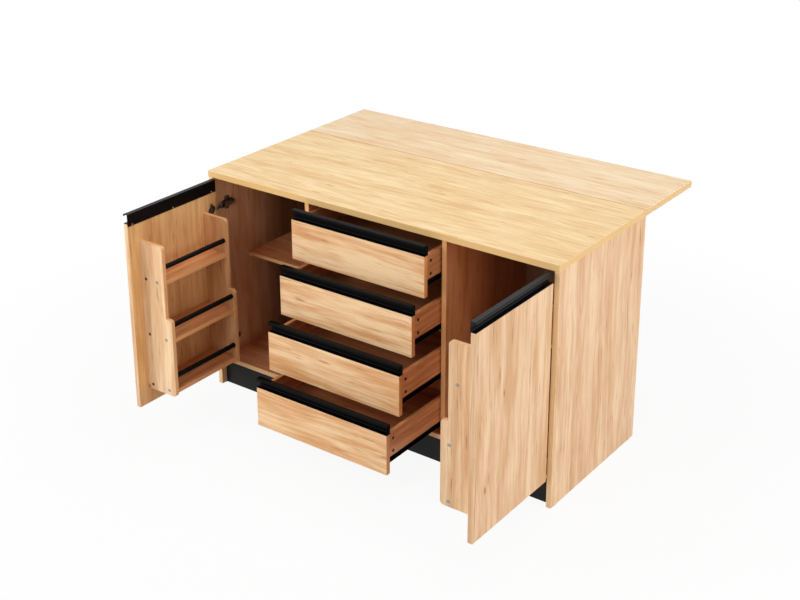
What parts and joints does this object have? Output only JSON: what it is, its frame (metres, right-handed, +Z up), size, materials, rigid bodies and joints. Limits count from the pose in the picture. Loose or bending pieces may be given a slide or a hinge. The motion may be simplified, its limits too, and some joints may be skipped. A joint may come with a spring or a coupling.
{
  "type": "kitchen island unit",
  "caption": "Kitchen island with a wooden worktop and rear drop leaf, a bank of pull-out drawers, and side doors that carry spice racks on concealed hinges.",
  "frame": {"origin": "on the floor, in the middle of the outline with doors, drawers and leaf open as pictured", "axes": "+X to the right seen from the drawer side, +Y towards the folding leaf, +Z up"},
  "size_m": [1.524, 1.4164, 0.9],
  "materials": {
    "top_oak": "oiled pale oak",
    "panel_oak": "oiled oak, grain upright",
    "front_oak": "oiled oak, grain level",
    "rack_oak": "oiled oak",
    "box_oak": "stained reddish brown",
    "black_profile": "satin black",
    "black_metal": "black coating",
    "black_board": "matte black",
    "bright_metal": "nickel plated",
    "dark_metal": "dark bronze",
    "pale_plastic": "matte"
  },
  "bodies": {
    "cabinet": {"worktop": "top_oak", "side_panel_left": "panel_oak", "side_panel_right": "panel_oak", "divider_left": "panel_oak", "divider_right": "panel_oak", "bottom_board": "panel_oak", "plinth": "black_board", "back_panel": "panel_oak", "shelves": "panel_oak", "shelf_pins": "bright_metal", "floor_glides": "pale_plastic", "cabinet_rails": "black_metal", "hinge_arms": "black_metal", "leaf_hinge_fixed": "bright_metal", "stay_brackets": "black_metal"},
    "leaf": {"drop_leaf": "top_oak", "leaf_hinge_moving": "bright_metal", "leaf_tracks": "black_metal"},
    "stays": {"leaf_stays": "black_metal"},
    "door_left": {"door_left_panel": "panel_oak", "door_left_handle": "black_profile", "rack_left_sides": "rack_oak", "rack_left_shelves": "rack_oak", "rack_left_rods": "black_metal", "rack_left_screws": "dark_metal", "door_left_caps": "bright_metal", "hinge_left_cups": "black_metal"},
    "door_right": {"door_right_panel": "panel_oak", "door_right_handle": "black_profile", "rack_right_sides": "rack_oak", "rack_right_shelves": "rack_oak", "rack_right_rods": "black_metal", "rack_right_screws": "dark_metal", "door_right_caps": "bright_metal", "hinge_right_cups": "black_metal"},
    "links_left": {"hinge_left_links": "black_metal"},
    "links_right": {"hinge_right_links": "black_metal"},
    "drawer_1": {"drawer_1_front": "front_oak", "drawer_1_handle": "black_profile", "drawer_1_box": "box_oak", "drawer_1_bottom": "box_oak", "drawer_1_fittings": "black_metal"},
    "drawer_2": {"drawer_2_front": "front_oak", "drawer_2_handle": "black_profile", "drawer_2_box": "box_oak", "drawer_2_bottom": "box_oak", "drawer_2_fittings": "black_metal"},
    "drawer_3": {"drawer_3_front": "front_oak", "drawer_3_handle": "black_profile", "drawer_3_box": "box_oak", "drawer_3_bottom": "box_oak", "drawer_3_fittings": "black_metal"},
    "drawer_4": {"drawer_4_front": "front_oak", "drawer_4_handle": "black_profile", "drawer_4_box": "box_oak", "drawer_4_bottom": "box_oak", "drawer_4_fittings": "black_metal"}
  },
  "joints": [
    {"name": "door_left_swing", "type": "hinge", "parent": "cabinet", "child": "door_left", "pos_m": [-0.746, -0.25525, 0.8355], "axis": [0, 0, -1], "range_deg": [-90, 5]},
    {"name": "door_right_swing", "type": "hinge", "parent": "cabinet", "child": "door_right", "pos_m": [0.746, -0.25525, 0.8355], "axis": [0, 0, 1], "range_deg": [-90, 5]},
    {"name": "link_left_turn", "type": "hinge", "parent": "cabinet", "child": "links_left", "pos_m": [-0.729, -0.22625, 0.7555], "axis": [0, 0, -1], "range_deg": [-78, 9]},
    {"name": "link_right_turn", "type": "hinge", "parent": "cabinet", "child": "links_right", "pos_m": [0.729, -0.22625, 0.7555], "axis": [0, 0, 1], "range_deg": [-78, 9]},
    {"name": "drawer_1_slide", "type": "slide", "parent": "cabinet", "child": "drawer_1", "axis": [0, -1, 0], "range_m": [-0.077, 0.323]},
    {"name": "drawer_2_slide", "type": "slide", "parent": "cabinet", "child": "drawer_2", "axis": [0, -1, 0], "range_m": [-0.149, 0.251]},
    {"name": "drawer_3_slide", "type": "slide", "parent": "cabinet", "child": "drawer_3", "axis": [0, -1, 0], "range_m": [-0.221, 0.179]},
    {"name": "drawer_4_slide", "type": "slide", "parent": "cabinet", "child": "drawer_4", "axis": [0, -1, 0], "range_m": [-0.293, 0.107]},
    {"name": "leaf_drop", "type": "hinge", "parent": "cabinet", "child": "leaf", "pos_m": [0, 0.3455, 0.872], "axis": [-1, 0, 0], "range_deg": [0, 90]},
    {"name": "stay_fold", "type": "hinge", "parent": "cabinet", "child": "stays", "pos_m": [0, 0.32875, 0.7551], "axis": [-1, 0, 0], "range_deg": [0, 118.5]}
  ],
  "couplings": [
    {"joint": "link_left_turn", "follows": "door_left_swing", "ratio": 0.86333},
    {"joint": "link_right_turn", "follows": "door_right_swing", "ratio": 0.86333},
    {"joint": "stay_fold", "follows": "leaf_drop", "ratio": 1.3111}
  ]
}
